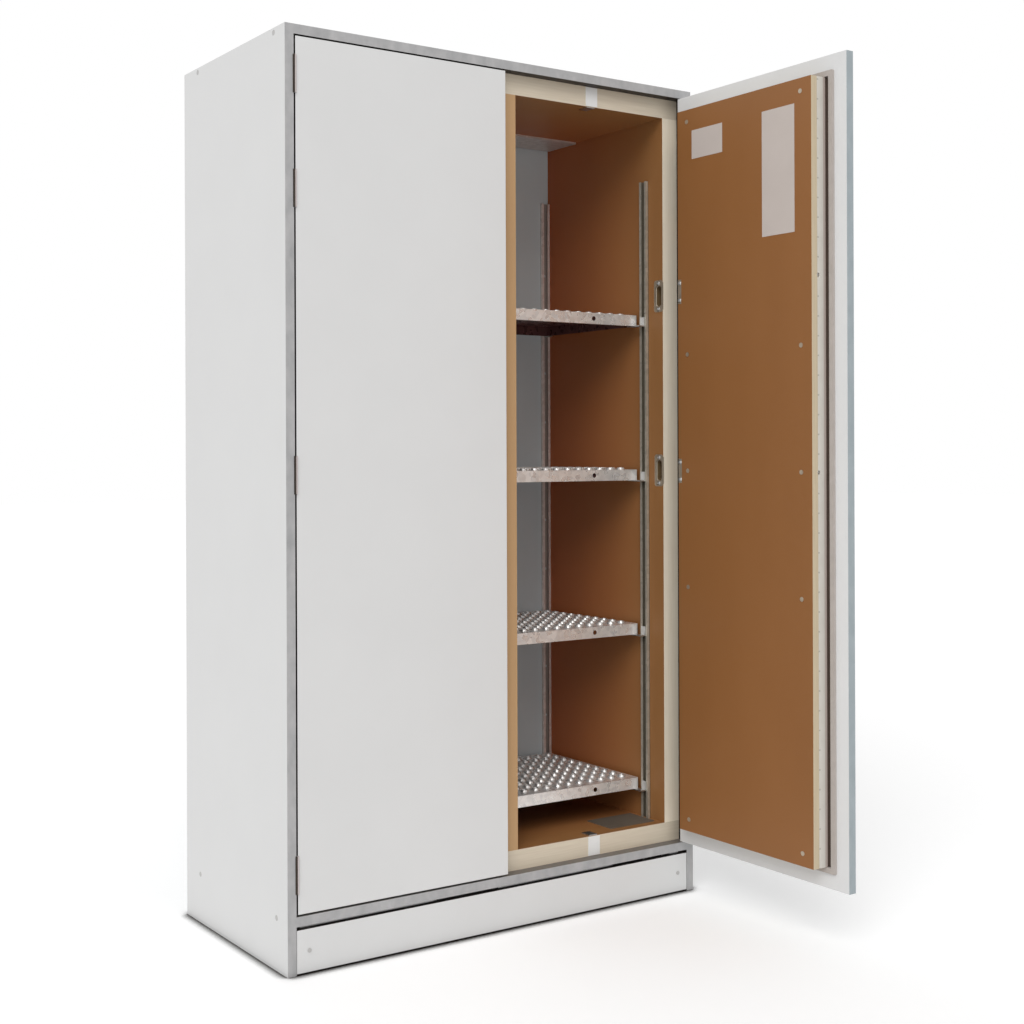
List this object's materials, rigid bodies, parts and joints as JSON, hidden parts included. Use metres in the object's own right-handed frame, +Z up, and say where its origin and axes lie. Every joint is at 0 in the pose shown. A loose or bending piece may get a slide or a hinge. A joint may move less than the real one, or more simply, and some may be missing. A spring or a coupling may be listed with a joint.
{
  "type": "battery cabinet",
  "caption": "Tall free-standing fire-resistant battery cabinet with two hinged stepped doors, brown lined interior, centre post and perforated metal shelves.",
  "frame": {"origin": "centre of the base, on the floor, midway between the side panels and between the front and back faces of the carcass", "axes": "+X to the right of a person facing the doors, +Y to the back, +Z up"},
  "size_m": [1.231, 1.125, 2.16],
  "materials": {
    "coated_board": "satin light grey melamine coating",
    "fire_board": "satin brown phenolic film on fire-protection board",
    "galvanised": "galvanised sheet",
    "zinc_steel": "zinc-plated",
    "seal_strip": "foamed intumescent seal",
    "white_plastic": "smooth white",
    "dark_plate": "matt dark grey",
    "nickel": "satin nickel",
    "black_plastic": "matt"
  },
  "bodies": {
    "cabinet": {"back_panel": "coated_board", "base_bearer": "coated_board", "bottom_panel": "coated_board", "case_screws": "zinc_steel", "centre_post": "fire_board", "door_glides": "white_plastic", "duct_cover": "galvanised", "exhaust_spigot": "galvanised", "floor_plates": "dark_plate", "foot_nuts": "zinc_steel", "glide_plates": "zinc_steel", "hinges_left_cabinet": "zinc_steel", "hinges_right_cabinet": "zinc_steel", "hook_pockets": "zinc_steel", "levelling_feet": "zinc_steel", "lining_bottom": "fire_board", "lining_left": "fire_board", "lining_right": "fire_board", "lining_top": "fire_board", "magnet_plates": "zinc_steel", "plinth_blocks": "coated_board", "plinth_cover": "coated_board", "plinth_screws": "zinc_steel", "rails_front": "galvanised", "rails_rear": "galvanised", "shelf_1": "galvanised", "shelf_2": "galvanised", "shelf_3": "galvanised", "shelf_4": "galvanised", "shelf_clips": "galvanised", "side_panel_left": "coated_board", "side_panel_right": "coated_board", "strike_plates": "zinc_steel", "top_panel": "coated_board"},
    "door_left": {"door_left_leaf": "coated_board", "door_left_core": "fire_board", "door_left_strip": "seal_strip", "door_left_seal": "seal_strip", "door_left_hooks": "zinc_steel", "hinges_left_door": "zinc_steel", "door_left_screws": "zinc_steel", "magnet_catches": "zinc_steel"},
    "door_right": {"door_right_leaf": "coated_board", "door_right_core": "fire_board", "door_right_strip": "seal_strip", "door_right_seal": "seal_strip", "door_right_hooks": "zinc_steel", "hinges_right_door": "zinc_steel", "door_right_screws": "zinc_steel", "lock_case": "zinc_steel", "handle_plate": "black_plastic", "lock_cylinder": "nickel"},
    "handle": {"handle": "black_plastic"},
    "bolts": {"lock_bolts": "zinc_steel"},
    "plug": {"cylinder_plug": "nickel"}
  },
  "joints": [
    {"name": "left_door_swing", "type": "hinge", "parent": "cabinet", "child": "door_left", "pos_m": [-0.576, -0.276, 0], "axis": [0, 0, -1], "range_deg": [0, 110]},
    {"name": "right_door_swing", "type": "hinge", "parent": "cabinet", "child": "door_right", "pos_m": [0.576, -0.276, 0], "axis": [0, 0, 1], "range_deg": [-90, 20]},
    {"name": "handle_turn", "type": "hinge", "parent": "door_right", "child": "handle", "pos_m": [0.6, -0.688, 1.109], "axis": [1, 0, 0], "range_deg": [0, 90]},
    {"name": "bolt_slide", "type": "slide", "parent": "door_right", "child": "bolts", "axis": [0, -1, 0], "range_m": [0, 0.03]},
    {"name": "plug_turn", "type": "hinge", "parent": "door_right", "child": "plug", "pos_m": [0.6, -0.688, 1.037], "axis": [1, 0, 0], "range_deg": [-180, 180]}
  ],
  "couplings": [
    {"joint": "bolt_slide", "follows": "handle_turn", "m_per_rad": 0.01909}
  ]
}
